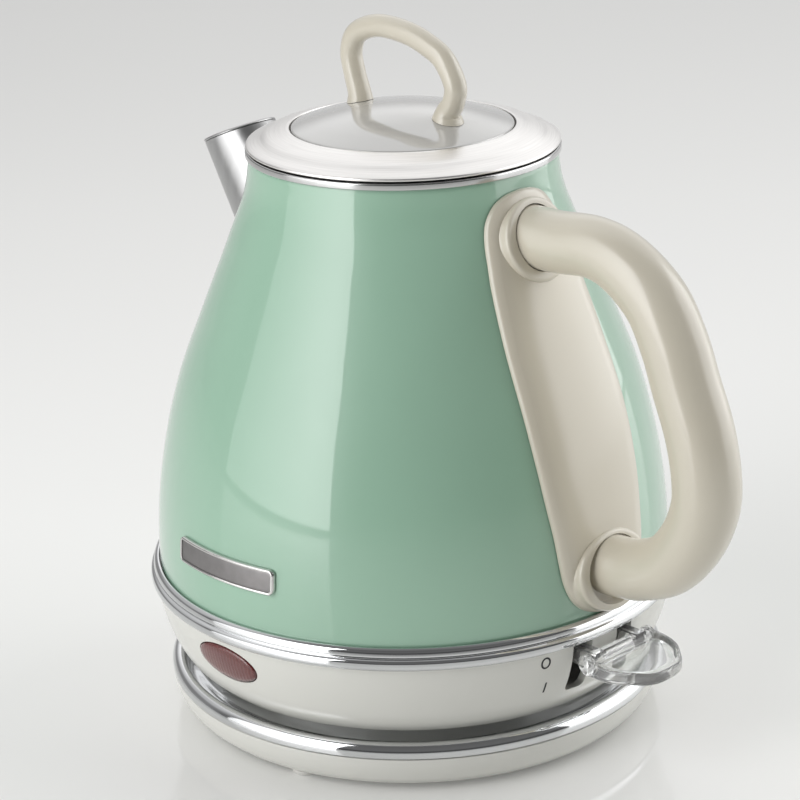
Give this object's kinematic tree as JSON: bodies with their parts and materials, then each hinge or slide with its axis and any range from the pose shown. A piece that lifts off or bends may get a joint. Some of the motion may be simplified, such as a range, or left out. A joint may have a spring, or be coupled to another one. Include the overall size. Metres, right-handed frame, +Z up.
{
  "type": "electric kettle",
  "caption": "Cordless electric kettle with a mint green steel body, cream handle and lid loop, steel spout and lid, and a chrome-rimmed round power base.",
  "frame": {"origin": "on the table under the middle of the kettle's bounding box", "axes": "+Z up, +X from the body towards the handle, -X towards the spout, -Y the side with the badge and the indicator lens"},
  "size_m": [0.1974, 0.154, 0.2008],
  "materials": {
    "green_enamel": "gloss",
    "cream_plastic": "gloss",
    "white_plastic": "satin",
    "black_plastic": "satin",
    "chrome": "polished",
    "brushed_steel": "satin",
    "plain_steel": "plain",
    "brass": "plain",
    "silicone": "matte",
    "clear_plastic": "clear",
    "red_lens": "gloss",
    "badge_metal": "satin"
  },
  "bodies": {
    "power_base": {"base_bottom_cover": "cream_plastic", "base_chrome_dish": "chrome", "base_connector": "black_plastic", "base_contact_ring": "brass", "base_earth_sleeve": "brass", "base_foot_1": "silicone", "base_foot_2": "silicone", "base_foot_3": "silicone", "base_screw_1": "plain_steel", "base_screw_2": "plain_steel", "base_screw_3": "plain_steel", "base_shell": "cream_plastic", "cord_gland": "black_plastic", "terminal_block": "white_plastic"},
    "inlet_socket": {"kettle_inlet": "black_plastic", "inlet_earth_pin": "brass", "inlet_contact_ring": "brass"},
    "kettle": {"badge_plate": "badge_metal", "body_shell": "green_enamel", "control_unit": "black_plastic", "handle_back_plate": "cream_plastic", "handle_grip": "cream_plastic", "handle_screw_bottom": "plain_steel", "handle_screw_top": "plain_steel", "heater_plate": "plain_steel", "heater_seal": "silicone", "heating_element": "plain_steel", "indicator_lamp": "red_lens", "indicator_lens": "red_lens", "kettle_bottom_cover": "cream_plastic", "lamp_holder": "black_plastic", "lower_housing": "cream_plastic", "mouth_rim": "brushed_steel", "spout": "brushed_steel", "steam_bimetal": "brass", "steam_tube": "plain_steel", "switch_bracket": "black_plastic", "switch_pin": "plain_steel", "trim_ring": "chrome", "trip_pin": "plain_steel"},
    "lid": {"lid_cover": "brushed_steel", "lid_disc": "cream_plastic", "lid_loop": "cream_plastic", "lid_plug": "plain_steel", "lid_screw_1": "plain_steel", "lid_screw_2": "plain_steel", "lid_seal": "silicone"},
    "spout_filter": {"spout_filter_frame": "white_plastic", "spout_filter_screen": "plain_steel"},
    "switch_lever_body": {"switch_lever": "clear_plastic"},
    "trip_rocker_body": {"trip_rocker": "white_plastic"}
  },
  "joints": [
    {"name": "kettle_lift", "type": "slide", "parent": "power_base", "child": "inlet_socket", "axis": [0, 0, 1], "range_m": [0, 0.08]},
    {"name": "kettle_swivel", "type": "hinge", "parent": "inlet_socket", "child": "kettle", "pos_m": [-0.01955, 0, 0], "axis": [0, 0, 1], "continuous": true},
    {"name": "lid_lift", "type": "slide", "parent": "kettle", "child": "lid", "axis": [0, 0, 1], "range_m": [0, 0.06]},
    {"name": "filter_unclip", "type": "slide", "parent": "kettle", "child": "spout_filter", "axis": [0.9285, 0, -0.3714], "range_m": [0, 0.02]},
    {"name": "switch_tilt", "type": "hinge", "parent": "kettle", "child": "switch_lever_body", "pos_m": [0.02645, 0, 0.03], "axis": [0, 1, 0], "range_deg": [0, 12]},
    {"name": "trip_tilt", "type": "hinge", "parent": "kettle", "child": "trip_rocker_body", "pos_m": [0.01295, 0, 0.0285], "axis": [0, 1, 0], "range_deg": [-10, 0]}
  ],
  "couplings": [
    {"joint": "trip_tilt", "follows": "switch_tilt", "ratio": -0.8}
  ]
}
